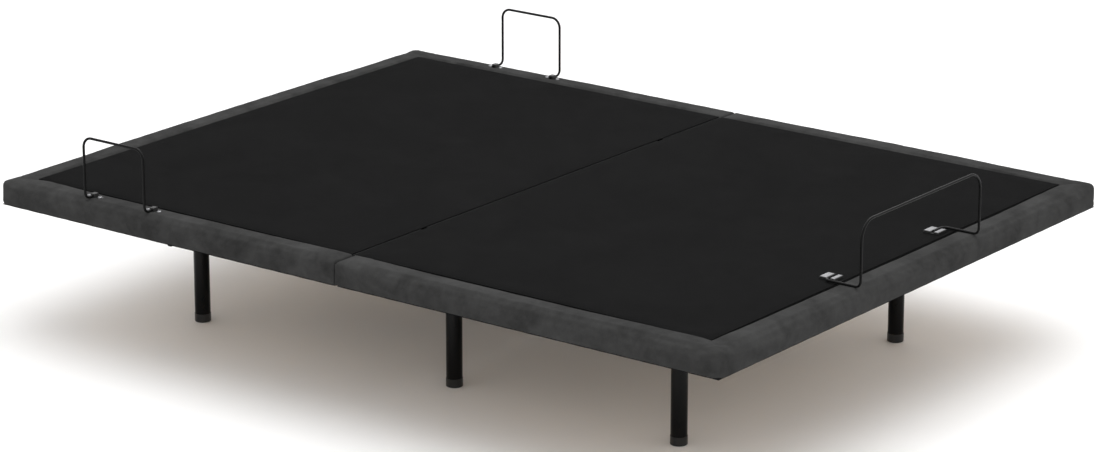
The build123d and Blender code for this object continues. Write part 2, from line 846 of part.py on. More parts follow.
# The foot clamps: a bright plate with two raised pads, the wire's end lying between them.
foot_wire_x = half_length - foot_bar_inset - foot_bar_run
groove_half = wire_radius + foot_clamp_play
with BuildPart() as foot_retainer_clamps:
    for sign in (1, -1):
        end_y = sign * (foot_bar_width / 2 - foot_bar_return)
        span = sorted((end_y - sign * foot_clamp_past, end_y + sign * foot_clamp_over))
        wide = (foot_wire_x - groove_half - foot_clamp_wide, foot_wire_x - groove_half)
        narrow = (foot_wire_x + groove_half, foot_wire_x + groove_half + foot_clamp_narrow)
        block((wide[0], narrow[1]), span, (deck_height, deck_height + clamp_base))
        for pad in (wide, narrow):
            block(pad, span, (deck_height + clamp_base, deck_height + clamp_base + foot_clamp_rise))
save(foot_retainer_clamps, "foot_retainer_clamps")
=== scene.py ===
import bpy
import bmesh
import json
from math import pi, radians, sin
from mathutils import Matrix, Vector, noise


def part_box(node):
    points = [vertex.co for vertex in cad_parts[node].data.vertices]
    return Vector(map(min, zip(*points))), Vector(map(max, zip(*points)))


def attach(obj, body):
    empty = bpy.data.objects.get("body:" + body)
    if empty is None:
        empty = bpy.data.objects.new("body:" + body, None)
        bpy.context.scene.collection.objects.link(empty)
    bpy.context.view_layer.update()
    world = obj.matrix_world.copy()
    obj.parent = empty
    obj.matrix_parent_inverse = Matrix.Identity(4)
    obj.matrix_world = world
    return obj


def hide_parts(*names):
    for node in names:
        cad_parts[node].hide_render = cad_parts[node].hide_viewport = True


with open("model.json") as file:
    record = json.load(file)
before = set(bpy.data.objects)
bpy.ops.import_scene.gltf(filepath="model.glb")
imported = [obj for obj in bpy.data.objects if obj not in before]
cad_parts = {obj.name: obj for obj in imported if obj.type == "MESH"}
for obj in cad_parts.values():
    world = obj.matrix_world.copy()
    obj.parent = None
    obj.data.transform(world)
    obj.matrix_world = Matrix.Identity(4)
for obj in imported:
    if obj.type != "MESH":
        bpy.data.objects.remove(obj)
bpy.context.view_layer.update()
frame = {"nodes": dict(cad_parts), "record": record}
nodes = frame["nodes"]
ends = {"head": -1, "foot": 1}
sides = {"left": 1, "right": -1}
print("frame loaded:", len(nodes), "nodes")


# small modelling helpers

def bevelEdges(bm, edges, width, segments=2):
    bmesh.ops.bevel(bm, geom=list(edges), offset=width, offset_type="OFFSET", segments=segments,
                    profile=0.5, affect="EDGES", material=-1, clamp_overlap=True)


def addBlock(bm, low, high, bevel=0.0, segments=2):
    low, high = Vector(low), Vector(high)
    size = high - low
    place = Matrix.Translation((low + high) / 2) @ Matrix.Diagonal((*size, 1))
    made = bmesh.ops.create_cube(bm, size=1, matrix=place)
    edges = {e for v in made["verts"] for e in v.link_edges}
    if bevel:
        bevelEdges(bm, edges, bevel, segments)


def turnTo(direction):
    return Vector(direction).to_track_quat("Z", "Y").to_matrix().to_4x4()


def addRod(bm, start, end, radius, bevel=0.0, segments=32, tip=None, bevelSteps=2):
    start, end = Vector(start), Vector(end)
    place = Matrix.Translation((start + end) / 2) @ turnTo(end - start)
    made = bmesh.ops.create_cone(bm, cap_ends=True, segments=segments, radius1=radius,
                                 radius2=radius if tip is None else tip, depth=(end - start).length, matrix=place)
    if bevel:
        rims = {e for v in made["verts"] for e in v.link_edges
                if any(len(f.verts) > 4 for f in e.link_faces)}
        bevelEdges(bm, rims, bevel, bevelSteps)


def addLathe(bm, profile, place, steps=48):
    # profile is (radius, height) pairs, spun about the local Z of place; the first meets the last
    verts = [bm.verts.new((r, 0, h)) for r, h in profile]
    edges = [bm.edges.new((a, b)) for a, b in zip(verts, verts[1:])]
    if profile[0][0] > 1e-6 and profile[-1][0] > 1e-6:
        edges.append(bm.edges.new((verts[-1], verts[0])))
    made = bmesh.ops.spin(bm, geom=verts + edges, cent=(0, 0, 0), axis=(0, 0, 1), angle=2 * pi,
                          steps=steps, use_merge=True, use_duplicate=False)
    ring = {v for v in made["geom_last"] if isinstance(v, bmesh.types.BMVert)} | set(verts)
    grow = set(ring)
    while ring:
        ring = {e.other_vert(v) for v in ring if v.is_valid for e in v.link_edges} - grow
        grow |= ring
    grow = [v for v in grow if v.is_valid]
    bmesh.ops.remove_doubles(bm, verts=grow, dist=1e-6)
    bmesh.ops.transform(bm, matrix=place, verts=[v for v in grow if v.is_valid])


def addScrew(bm, at, direction, head, rise, drive=0.45):
    # domed head with a round recess
    place = Matrix.Translation(at) @ turnTo(direction)
    profile = [(0, -0.0002), (head * 0.98, -0.0002), (head, rise * 0.18), (head * 0.9, rise * 0.6),
               (head * 0.68, rise * 0.9), (head * 0.5, rise), (head * drive, rise * 0.98),
               (head * drive * 0.9, rise * 0.35), (0, rise * 0.3)]
    addLathe(bm, profile, place, 24)


def addHexNut(bm, at, direction, across, height, stud=0.0):
    place = Matrix.Translation(at) @ turnTo(direction)
    made = bmesh.ops.create_cone(bm, cap_ends=True, segments=6, radius1=across / 2, radius2=across / 2,
                                 depth=height, matrix=place @ Matrix.Translation((0, 0, height / 2)))
    bevelEdges(bm, {e for v in made["verts"] for e in v.link_edges}, across * 0.04, 2)
    if stud:
        start = place @ Vector((0, 0, height * 0.5))
        addRod(bm, start, place @ Vector((0, 0, height + stud)), across * 0.3, 0.0006, 20)


def smoothFaces(mesh, angle=35):
    mesh.shade_smooth()
    mesh.set_sharp_from_angle(angle=radians(angle))


def newPiece(name, bm, body, material, replaced=(), smooth=35):
    bmesh.ops.recalc_face_normals(bm, faces=bm.faces)
    mesh = bpy.data.meshes.new(name)
    bm.to_mesh(mesh)
    bm.free()
    piece = bpy.data.objects.new(name, mesh)
    bpy.context.scene.collection.objects.link(piece)
    mesh.materials.append(material)
    smoothFaces(mesh, smooth)
    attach(piece, body)
    if replaced:
        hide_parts(*replaced)
    return piece


# effects that several materials share

def newGroup(name, inputs, outputs):
    group = bpy.data.node_groups.new(name, "ShaderNodeTree")
    for label, kind, value in inputs:
        socket = group.interface.new_socket(label, in_out="INPUT", socket_type=kind)
        if value is not None:
            socket.default_value = value
    for label, kind in outputs:
        group.interface.new_socket(label, in_out="OUTPUT", socket_type=kind)
    entry = group.nodes.new("NodeGroupInput")
    leave = group.nodes.new("NodeGroupOutput")
    return group, entry, leave


def addMath(tree, kind, a, b=None, clamp=False):
    node = tree.nodes.new("ShaderNodeMath")
    node.operation = kind
    node.use_clamp = clamp
    for spot, value in ((0, a), (1, b)):
        if value is None:
            continue
        if isinstance(value, (int, float)):
            node.inputs[spot].default_value = value
        else:
            tree.links.new(value, node.inputs[spot])
    return node.outputs[0]


def addNoise(tree, vector, scale, detail=3.0, rough=0.55, distortion=0.0):
    node = tree.nodes.new("ShaderNodeTexNoise")
    node.inputs["Detail"].default_value = detail
    node.inputs["Roughness"].default_value = rough
    node.inputs["Distortion"].default_value = distortion
    tree.links.new(vector, node.inputs["Vector"])
    if isinstance(scale, (int, float)):
        node.inputs["Scale"].default_value = scale
    else:
        tree.links.new(scale, node.inputs["Scale"])
    return node.outputs["Fac"]


def addRange(tree, value, low, high, toLow, toHigh):
    node = tree.nodes.new("ShaderNodeMapRange")
    node.inputs["From Min"].default_value = low
    node.inputs["From Max"].default_value = high
    node.inputs["To Min"].default_value = toLow
    node.inputs["To Max"].default_value = toHigh
    tree.links.new(value, node.inputs["Value"])
    return node.outputs["Result"]


def addMix(tree, factor, a, b, blend="MIX"):
    node = tree.nodes.new("ShaderNodeMix")
    node.data_type = "RGBA"
    node.blend_type = blend
    factorIn = node.inputs[0]
    colourA = [s for s in node.inputs if s.name == "A" and s.type == "RGBA"][0]
    colourB = [s for s in node.inputs if s.name == "B" and s.type == "RGBA"][0]
    for socket, value in ((factorIn, factor), (colourA, a), (colourB, b)):
        if isinstance(value, (int, float)):
            socket.default_value = value
        elif isinstance(value, tuple):
            socket.default_value = (*value, 1) if len(value) == 3 else value
        else:
            tree.links.new(value, socket)
    return [s for s in node.outputs if s.type == "RGBA"][0]


def makeMottle():
    # soft clouds of lighter and darker nap, with fibres at a millimetre
    group, entry, leave = newGroup("napMottle", [
        ("Vector", "NodeSocketVector", None), ("Light", "NodeSocketColor", None),
        ("Dark", "NodeSocketColor", None), ("Cloud Scale", "NodeSocketFloat", 9.0),
        ("Fibre Scale", "NodeSocketFloat", 700.0)], [
        ("Color", "NodeSocketColor"), ("Height", "NodeSocketFloat"), ("Rough", "NodeSocketFloat")])
    vector = entry.outputs["Vector"]
    cloud = addNoise(group, vector, entry.outputs["Cloud Scale"], 4.0, 0.6, 0.6)
    brushed = addNoise(group, vector, addMath(group, "MULTIPLY", entry.outputs["Cloud Scale"], 5.0), 3.0, 0.6, 0.4)
    fibre = addNoise(group, vector, entry.outputs["Fibre Scale"], 2.0, 0.7)
    cloudMask = addRange(group, cloud, 0.34, 0.68, 0, 1)
    brushMask = addRange(group, brushed, 0.3, 0.7, 0, 1)
    fibreMask = addRange(group, fibre, 0.28, 0.72, 0, 1)
    mask = addMath(group, "ADD", addMath(group, "MULTIPLY", cloudMask, 0.45),
                   addMath(group, "MULTIPLY", brushMask, 0.3))
    mask = addMath(group, "ADD", mask, addMath(group, "MULTIPLY", fibreMask, 0.25), True)
    group.links.new(addMix(group, mask, entry.outputs["Dark"], entry.outputs["Light"]), leave.inputs["Color"])
    height = addMath(group, "ADD", addMath(group, "MULTIPLY", fibre, 0.8), addMath(group, "MULTIPLY", brushed, 0.35))
    group.links.new(height, leave.inputs["Height"])
    group.links.new(addRange(group, brushed, 0.3, 0.7, 0.82, 0.97), leave.inputs["Rough"])
    return group


def makeWeave():
    # plain weave on X and Y: threads over and under, each a little uneven
    group, entry, leave = newGroup("plainWeave", [
        ("Vector", "NodeSocketVector", None), ("Pitch", "NodeSocketFloat", 0.002),
        ("Unevenness", "NodeSocketFloat", 0.3)], [
        ("Height", "NodeSocketFloat"), ("Mask", "NodeSocketFloat")])
    split = group.nodes.new("ShaderNodeSeparateXYZ")
    group.links.new(entry.outputs["Vector"], split.inputs[0])
    wobble = addNoise(group, entry.outputs["Vector"], 120.0, 2.0)
    wobble = addMath(group, "MULTIPLY", addMath(group, "SUBTRACT", wobble, 0.5), entry.outputs["Unevenness"])
    turns = addMath(group, "DIVIDE", pi, entry.outputs["Pitch"])
    across, along = (
        addMath(group, "SINE", addMath(group, "ADD", addMath(group, "MULTIPLY", split.outputs[axis], turns), wobble))
        for axis in "XY")
    cell = addMath(group, "MULTIPLY", across, along)
    height = addMath(group, "ABSOLUTE", cell)
    group.links.new(height, leave.inputs["Height"])
    group.links.new(addRange(group, cell, -1, 1, 0, 1), leave.inputs["Mask"])
    return group


def makeWear():
    # marks in the worn colour on exposed edges, broken up by noise, and a film of dust in patches
    group, entry, leave = newGroup("edgeWear", [
        ("Vector", "NodeSocketVector", None), ("Base", "NodeSocketColor", None),
        ("Worn", "NodeSocketColor", None), ("Amount", "NodeSocketFloat", 0.5),
        ("Grain Scale", "NodeSocketFloat", 900.0)], [
        ("Color", "NodeSocketColor"), ("Mask", "NodeSocketFloat"), ("Height", "NodeSocketFloat")])
    shape = group.nodes.new("ShaderNodeNewGeometry")
    edge = addRange(group, shape.outputs["Pointiness"], 0.52, 0.62, 0, 1)
    patch = addRange(group, addNoise(group, entry.outputs["Vector"], 60.0, 4.0, 0.65), 0.42, 0.66, 0, 1)
    mask = addMath(group, "MULTIPLY", addMath(group, "MULTIPLY", edge, patch), entry.outputs["Amount"], True)
    film = addRange(group, addNoise(group, entry.outputs["Vector"], 14.0, 4.0, 0.6), 0.4, 0.75, 0, 0.3)
    film = addMath(group, "MULTIPLY", film, entry.outputs["Amount"])
    both = addMath(group, "MAXIMUM", mask, film)
    group.links.new(addMix(group, both, entry.outputs["Base"], entry.outputs["Worn"]), leave.inputs["Color"])
    group.links.new(mask, leave.inputs["Mask"])
    texture = addNoise(group, entry.outputs["Vector"], entry.outputs["Grain Scale"], 2.0)
    group.links.new(texture, leave.inputs["Height"])
    return group


def makeGrain():
    # wood grain drawn out along X, with darker late wood
    group, entry, leave = newGroup("woodGrain", [
        ("Vector", "NodeSocketVector", None), ("Light", "NodeSocketColor", None),
        ("Dark", "NodeSocketColor", None), ("Scale", "NodeSocketFloat", 30.0)], [
        ("Color", "NodeSocketColor"), ("Height", "NodeSocketFloat")])
    stretch = group.nodes.new("ShaderNodeMapping")
    stretch.inputs["Scale"].default_value = (0.07, 1, 1)
    group.links.new(entry.outputs["Vector"], stretch.inputs["Vector"])
    broad = addNoise(group, stretch.outputs[0], entry.outputs["Scale"], 4.0, 0.6, 1.2)
    fine = addNoise(group, stretch.outputs[0], addMath(group, "MULTIPLY", entry.outputs["Scale"], 9.0), 3.0, 0.6)
    rings = addMath(group, "FRACT", addMath(group, "MULTIPLY", broad, 9.0))
    tone = addMath(group, "ADD", addMath(group, "MULTIPLY", rings, 0.55), addMath(group, "MULTIPLY", fine, 0.45))
    group.links.new(addMix(group, tone, entry.outputs["Light"], entry.outputs["Dark"]), leave.inputs["Color"])
    group.links.new(addMath(group, "MULTIPLY", fine, -1.0), leave.inputs["Height"])
    return group


mottle, weave, wear, grain = makeMottle(), makeWeave(), makeWear(), makeGrain()


def newMaterial(name, **shaderValues):
    material = bpy.data.materials.new(name)
    material.use_nodes = True
    tree = material.node_tree
    tree.nodes.clear()
    out = tree.nodes.new("ShaderNodeOutputMaterial")
    shader = tree.nodes.new("ShaderNodeBsdfPrincipled")
    tree.links.new(shader.outputs[0], out.inputs["Surface"])
    for label, value in shaderValues.items():
        shader.inputs[label.replace("_", " ")].default_value = value
    where = tree.nodes.new("ShaderNodeTexCoord").outputs["Object"]
    return material, tree, shader, where


def placeGroup(tree, group, where, **values):
    node = tree.nodes.new("ShaderNodeGroup")
    node.node_tree = group
    tree.links.new(where, node.inputs["Vector"])
    for label, value in values.items():
        node.inputs[label.replace("_", " ")].default_value = value
    return node


def addBump(tree, shader, height, distance, strength=1.0):
    bump = tree.nodes.new("ShaderNodeBump")
    bump.inputs["Distance"].default_value = distance
    bump.inputs["Strength"].default_value = strength
    tree.links.new(height, bump.inputs["Height"])
    tree.links.new(bump.outputs[0], shader.inputs["Normal"])


def suedeCloth(name, light, dark, cloud, sheen):
    material, tree, shader, where = newMaterial(name, Sheen_Weight=sheen, Sheen_Roughness=0.45,
                                                Sheen_Tint=(0.8, 0.8, 0.82, 1), Specular_IOR_Level=0.03)
    nap = placeGroup(tree, mottle, where, Light=(*light, 1), Dark=(*dark, 1), Cloud_Scale=cloud, Fibre_Scale=650.0)
    tree.links.new(nap.outputs["Color"], shader.inputs["Base Color"])
    tree.links.new(nap.outputs["Rough"], shader.inputs["Roughness"])
    addBump(tree, shader, nap.outputs["Height"], 0.0007, 0.8)
    return material


def wovenCloth(name, light, dark, pitch, relief):
    material, tree, shader, where = newMaterial(name, Roughness=0.95, Specular_IOR_Level=0.02)
    threads = placeGroup(tree, weave, where, Pitch=pitch, Unevenness=0.4)
    nap = placeGroup(tree, mottle, where, Light=(*light, 1), Dark=(*dark, 1), Cloud_Scale=5.0, Fibre_Scale=900.0)
    # painted shade: the base colour is darkened where the weave dips between threads
    shade = addRange(tree, threads.outputs["Height"], 0, 1, 0.72, 1.0)
    tree.links.new(addMix(tree, 1.0, nap.outputs["Color"], shade, "MULTIPLY"), shader.inputs["Base Color"])
    addBump(tree, shader, threads.outputs["Height"], relief, 0.8)
    return material


def paintedSteel(name, base, worn, roughness, amount, coat=0.0, orange=0.00004, grainScale=700.0, gloss=0.45):
    material, tree, shader, where = newMaterial(name, Specular_IOR_Level=gloss, Coat_Roughness=0.08)
    marks = placeGroup(tree, wear, where, Base=(*base, 1), Worn=(*worn, 1), Amount=amount, Grain_Scale=grainScale)
    tree.links.new(marks.outputs["Color"], shader.inputs["Base Color"])
    uneven = addNoise(tree, where, 35.0, 3.0)
    tree.links.new(addRange(tree, uneven, 0.3, 0.7, roughness * 0.85, roughness * 1.2), shader.inputs["Roughness"])
    shader.inputs["Coat Weight"].default_value = coat
    addBump(tree, shader, marks.outputs["Height"], orange, 0.6)
    return material


def bareMetal(name, base, roughness, brushAlong, relief=0.00002):
    material, tree, shader, where = newMaterial(name, Metallic=1.0, Specular_IOR_Level=0.5)
    stretch = tree.nodes.new("ShaderNodeMapping")
    stretch.inputs["Scale"].default_value = tuple(0.04 if axis == brushAlong else 1.0 for axis in "XYZ")
    tree.links.new(where, stretch.inputs["Vector"])
    lines = addNoise(tree, stretch.outputs[0], 1600.0, 2.0, 0.7)
    marks = placeGroup(tree, wear, where, Base=(*base, 1), Worn=tuple(0.72 * c for c in base) + (1,),
                       Amount=0.8, Grain_Scale=400.0)
    tree.links.new(marks.outputs["Color"], shader.inputs["Base Color"])
    tree.links.new(addRange(tree, lines, 0.3, 0.7, roughness * 0.7, roughness * 1.35), shader.inputs["Roughness"])
    addBump(tree, shader, lines, relief, 0.5)
    return material


def mouldedPlastic(name, base, worn, roughness, relief=0.00008, grainScale=1100.0):
    material, tree, shader, where = newMaterial(name, Specular_IOR_Level=0.45)
    marks = placeGroup(tree, wear, where, Base=(*base, 1), Worn=(*worn, 1), Amount=0.5, Grain_Scale=grainScale)
    tree.links.new(marks.outputs["Color"], shader.inputs["Base Color"])
    tree.links.new(addRange(tree, marks.outputs["Height"], 0.3, 0.7, roughness * 0.85, roughness * 1.15),
                   shader.inputs["Roughness"])
    addBump(tree, shader, marks.outputs["Height"], relief, 0.7)
    return material


# where the glued cover hides the wood, measured from the board's underside, and painted shade at the centre seam, a
# near black band on the wood measured from the seam
woodCoverAndSeamShade = {"layer": 0.0015, "fromSeam": 0.014, "aboveBoard": 0.003, "tone": (0.010, 0.010, 0.010)}
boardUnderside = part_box("head_deck_board")[0][2]


def grainedWood(name, light, dark, scale, plies=False):
    material, tree, shader, where = newMaterial(name, Roughness=0.62, Specular_IOR_Level=0.35)
    figure = placeGroup(tree, grain, where, Light=(*light, 1), Dark=(*dark, 1), Scale=scale)
    colour = figure.outputs["Color"]
    if plies:  # edges show the layers of veneer, darker every other one
        split = tree.nodes.new("ShaderNodeSeparateXYZ")
        tree.links.new(where, split.inputs[0])
        layer = addMath(tree, "SINE", addMath(tree, "MULTIPLY", split.outputs["Z"], pi / woodCoverAndSeamShade["layer"]))
        layer = addRange(tree, layer, -0.4, 0.4, 0, 1)
        facing = tree.nodes.new("ShaderNodeNewGeometry")
        tilt = tree.nodes.new("ShaderNodeSeparateXYZ")
        tree.links.new(facing.outputs["Normal"], tilt.inputs[0])
        onEdge = addMath(tree, "LESS_THAN", addMath(tree, "ABSOLUTE", tilt.outputs["Z"]), 0.2)
        veneer = addMix(tree, layer, tuple(0.5 * c for c in dark), light)
        colour = addMix(tree, onEdge, colour, veneer)
    # the cover is glued over the board's top and sides; beside the centre seam the wood is painted near black as
    # painted shade in the gap between the halves
    place = tree.nodes.new("ShaderNodeSeparateXYZ")
    tree.links.new(where, place.inputs[0])
    paintedSeamShade = addMath(tree, "LESS_THAN", addMath(tree, "ABSOLUTE", place.outputs["X"]), woodCoverAndSeamShade["fromSeam"])
    onTop = addMath(tree, "GREATER_THAN", place.outputs["Z"], boardUnderside + woodCoverAndSeamShade["aboveBoard"])
    coverAndSeamShade = addMath(tree, "MAXIMUM", paintedSeamShade, onTop) if plies else paintedSeamShade
    colour = addMix(tree, coverAndSeamShade, colour, woodCoverAndSeamShade["tone"])
    tree.links.new(colour, shader.inputs["Base Color"])
    addBump(tree, shader, figure.outputs["Height"], 0.0002, 0.6)
    return material


materials = {
    "border_fabric": suedeCloth("charcoalSuede", (0.056, 0.056, 0.0555), (0.0175, 0.0175, 0.0173), 9.0, 0.02),
    "deck_fabric": wovenCloth("gripCloth", (0.0115, 0.0115, 0.0116), (0.0075, 0.0075, 0.0076), 0.0016, 0.00018),
    "plywood": grainedWood("birchPly", (0.60, 0.45, 0.28), (0.42, 0.28, 0.15), 22.0, True),
    "rail_wood": grainedWood("planedPine", (0.66, 0.49, 0.29), (0.47, 0.30, 0.14), 34.0),
    "leg_paint": paintedSteel("glossBlackPaint", (0.003, 0.003, 0.003), (0.010, 0.010, 0.010), 0.17, 0.05,
                              0.0, 0.00001, 300.0, 0.12),
    "cap_plastic": mouldedPlastic("capPlastic", (0.006, 0.006, 0.006), (0.015, 0.015, 0.015), 0.36),
    "pad_rubber": mouldedPlastic("blackRubber", (0.016, 0.016, 0.016), (0.04, 0.04, 0.04), 0.8, 0.00012, 600.0),
    "roller_nylon": mouldedPlastic("whiteNylon", (0.72, 0.72, 0.67), (0.55, 0.54, 0.48), 0.38, 0.00004, 300.0),
    "bush_nylon": mouldedPlastic("bushNylon", (0.62, 0.61, 0.55), (0.5, 0.48, 0.4), 0.42, 0.00004, 300.0),
    "housing_plastic": mouldedPlastic("housingPlastic", (0.020, 0.020, 0.022), (0.07, 0.07, 0.07), 0.52),
    "wire_paint": paintedSteel("wireBlackPaint", (0.004, 0.004, 0.004), (0.02, 0.02, 0.02), 0.30, 0.10,
                               0.0, 0.00002, 500.0, 0.10),
    "clamp_paint": paintedSteel("clampBlackPaint", (0.010, 0.010, 0.010), (0.06, 0.06, 0.06), 0.45, 0.3),
    "zinc_plate": bareMetal("zincPlate", (0.30, 0.30, 0.31), 0.38, "Y"),
    "bright_steel": bareMetal("drawnSteel", (0.60, 0.60, 0.60), 0.26, "X"),
    "tube_aluminium": bareMetal("satinAluminium", (0.62, 0.63, 0.64), 0.38, "X"),
    "frame_paint": paintedSteel("satinBlackPaint", (0.014, 0.014, 0.015), (0.07, 0.07, 0.07), 0.48, 0.35,
                                0.0, 0.00007),
}
motorPaint = paintedSteel("motorCanPaint", (0.045, 0.046, 0.05), (0.12, 0.12, 0.12), 0.4, 0.3)
hemCloth = wovenCloth("hemLining", (0.020, 0.020, 0.021), (0.012, 0.012, 0.013), 0.0011, 0.00015)
for part in frame["record"]["subparts"]:
    node = nodes[part["node"]]
    finish = materials[part["material_slot"]]
    if not node.material_slots:
        node.data.materials.append(finish)
    for spot in node.material_slots:
        spot.material = finish
print("materials placed:", len(materials))


# padded borders: the foam edge of each deck half, puffed as cloth over its foam

borderPad = {
    "grain": 0.0040, "inset": 0.0008, "frames": 14, "cap": 0.0032, "fill": 0.9,
    "ripple": 0.0009, "rippleScale": 7.0, "fineScale": 31.0, "fineShare": 0.5, "calmSeam": 0.02,
    "seamClear": 0.0013, "seamHold": 0.010, "seamRoll": 0.006,
    "panelClear": 0.0002, "straight": 0.004, "overlap": 0.002, "width": 0.067,
}
borderCloth = {
    "quality": 4, "mass": 0.3, "tension_stiffness": 12, "compression_stiffness": 12, "shear_stiffness": 5,
    "bending_stiffness": 0.6, "use_pressure": True, "uniform_pressure_force": 4.0, "vertex_group_mass": "held",
}
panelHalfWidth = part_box("head_deck_fabric")[1][1]
panelReach = max(abs(corner[0]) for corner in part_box("head_deck_fabric"))


def evenCopy(name, node, grain):
    # a CAD node's mesh, remade as a grid of even faces
    bm = bmesh.new()
    bm.from_mesh(nodes[node].data)
    bmesh.ops.remove_doubles(bm, verts=bm.verts, dist=1e-5)
    bmesh.ops.recalc_face_normals(bm, faces=bm.faces)
    bm.normal_update()
    mesh = bpy.data.meshes.new(name)
    bm.to_mesh(mesh)
    bm.free()
    piece = bpy.data.objects.new(name, mesh)
    bpy.context.scene.collection.objects.link(piece)
    even = piece.modifiers.new("evenMesh", "REMESH")
    even.mode = "VOXEL"
    even.voxel_size = grain
    even.use_smooth_shade = True
    view = bpy.context.evaluated_depsgraph_get()
    view.update()
    flat = bpy.data.meshes.new_from_object(piece.evaluated_get(view))
    piece.modifiers.clear()
    piece.data = flat
    flat.name = name
    return piece


def blownUp(piece, feel, frames):
    # where the cover's points come to rest over the foam
    puff = piece.modifiers.new("puff", "CLOTH")
    for label, value in feel.items():
        setattr(puff.settings, label, value)
    puff.settings.effector_weights.gravity = 0
    puff.collision_settings.use_collision = False
    puff.point_cache.frame_start = 1
    puff.point_cache.frame_end = frames
    for step in range(1, frames + 1):
        bpy.context.scene.frame_set(step)
    shown = piece.evaluated_get(bpy.context.evaluated_depsgraph_get())
    places = [v.co.copy() for v in shown.to_mesh().vertices]
    shown.to_mesh_clear()
    piece.modifiers.remove(puff)
    bpy.context.scene.frame_set(1)
    return places


def restBorder(sign, low, high, before, after, normal):
    # one point of a border: puffed, rippled, and straight where it meets the panel and the seam
    pad = borderPad
    move = after - before
    if move.length > pad["cap"]:
        move = move.normalized() * pad["cap"]
    wave = noise.noise(before * pad["rippleScale"]) + pad["fineShare"] * noise.noise(before * pad["fineScale"])
    outward = 1.0 if normal.z > -0.5 and abs(before.x) > pad["calmSeam"] else 0.0
    at = before + move - normal * pad["inset"] + normal * wave * pad["ripple"] * outward
    at.x = sign * max(sign * at.x, pad["seamClear"])
    at.z = max(at.z, low.z)
    innerEdge, innerEnd = panelHalfWidth + pad["panelClear"], panelReach + pad["panelClear"]
    beside = sign * before.x < max(abs(low.x), abs(high.x)) - pad["width"] - pad["overlap"]
    if beside and abs(at.y) < innerEdge + pad["straight"]:
        at.y = innerEdge if at.y > 0 else -innerEdge
    if abs(before.y) < panelHalfWidth - pad["overlap"] and sign * at.x < innerEnd + pad["straight"]:
        at.x = sign * innerEnd
    if abs(before.x) < pad["grain"] and before.z < high.z - pad["seamRoll"]:
        at.x = sign * pad["seamClear"]
    return at


def makeBorder(end):
    piece = evenCopy(end + "BorderPad", end + "_border", borderPad["grain"])
    flat = piece.data
    start = [v.co.copy() for v in flat.vertices]
    # the cover is tight where it lies on wood and at the seam
    held = piece.vertex_groups.new(name="held")
    for v in flat.vertices:
        if v.normal.z < -0.5 or abs(v.co.x) < borderPad["seamHold"]:
            held.add([v.index], 1.0, "REPLACE")
    puffed = blownUp(piece, borderCloth, borderPad["frames"])
    normals = [v.normal.copy() for v in flat.vertices]
    low, high = (Vector(c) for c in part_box(end + "_border"))
    for v, before, after, normal in zip(flat.vertices, start, puffed, normals):
        v.co = restBorder(ends[end], low, high, before, after, normal)
    flat.update()
    flat.materials.clear()
    flat.materials.append(materials["border_fabric"])
    flat.shade_smooth()
    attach(piece, end + "_deck")
    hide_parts(end + "_border")
    print(piece.name, "faces", len(flat.polygons))


for end in ends:
    makeBorder(end)


# deck panels: grip cloth stretched over the board, rolled down at its edges

panel = {"thick": 0.0012, "edgeGap": 0.0013, "sink": 0.0002, "steps": 46, "sag": 0.0004, "scale": 3.2,
         "calmEdge": 0.05, "rolls": ((0.0005, 0.0008), (0.0009, 0.0004)), "atEdge": 0.004, "turned": 0.004}


def makePanel(end):
    low, high = (Vector(c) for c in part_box(end + "_deck_fabric"))
    top = high.z - panel["sink"]
    lowX, highX = low.x + panel["edgeGap"], high.x - panel["edgeGap"]
    lowY, highY = low.y + panel["edgeGap"], high.y - panel["edgeGap"]
    bm = bmesh.new()
    place = Matrix.Translation(((lowX + highX) / 2, (lowY + highY) / 2, top)) @ Matrix.Diagonal(
        ((highX - lowX) / 2, (highY - lowY) / 2, 1, 1))
    bmesh.ops.create_grid(bm, x_segments=panel["steps"], y_segments=panel["steps"], size=1, matrix=place)
    for v in bm.verts:
        inside = min(v.co.x - lowX, highX - v.co.x, v.co.y - lowY, highY - v.co.y)
        wave = noise.noise(v.co * panel["scale"]) * panel["sag"]
        v.co.z += (wave - panel["sag"]) * min(1.0, inside / panel["calmEdge"])
    rim = [e for e in bm.edges if e.is_boundary]
    for drop, outward in panel["rolls"]:
        made = bmesh.ops.extrude_edge_only(bm, edges=rim)["geom"]
        fresh = [g for g in made if isinstance(g, bmesh.types.BMVert)]
        rim = [g for g in made if isinstance(g, bmesh.types.BMEdge) and g.is_boundary]
        for v in fresh:
            away = Vector((v.co.x - (lowX + highX) / 2, v.co.y - (lowY + highY) / 2, 0))
            atX = min(abs(v.co.x - lowX), abs(v.co.x - highX)) < panel["atEdge"]
            atY = min(abs(v.co.y - lowY), abs(v.co.y - highY)) < panel["atEdge"]
            v.co.x += outward * (1 if away.x > 0 else -1) * atX
            v.co.y += outward * (1 if away.y > 0 else -1) * atY
            v.co.z -= drop
    piece = newPiece(end + "DeckCloth", bm, end + "_deck", materials["deck_fabric"],
                     [end + "_deck_fabric"], 80)
    thick = piece.modifiers.new("clothThickness", "SOLIDIFY")
    thick.thickness = panel["thick"]
    thick.offset = -1


for end in ends:
    makePanel(end)
print("borders and panels done")


# the cover's hem, folded under the wood rails and stapled

hem = {"width": 0.038, "fromEdge": 0.0065, "thick": 0.0009, "fromSeam": 0.0035, "sink": 0.0002,
       "facet": 0.02, "across": 3, "pucker": 0.0005}
staple = {"pitch": 0.062, "wide": 0.0105, "wire": 0.0007, "low": 0.0026, "high": 0.0010}


def hemStrips(end):
    # spans in X and Y of the two long strips and the one at the end
    sign = ends[end]
    low, high = (Vector(c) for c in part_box(end + "_border"))
    seamX = sign * hem["fromSeam"]
    endX = (high.x if sign > 0 else low.x) - sign * hem["fromEdge"]
    strips = []
    for side in (1, -1):
        outY = side * (high.y - hem["fromEdge"])
        strips.append((sorted((seamX, endX)), sorted((outY, outY - side * hem["width"]))))
    reachY = high.y - hem["fromEdge"] - hem["width"]
    strips.append((sorted((endX, endX - sign * hem["width"])), [-reachY, reachY]))
    return strips


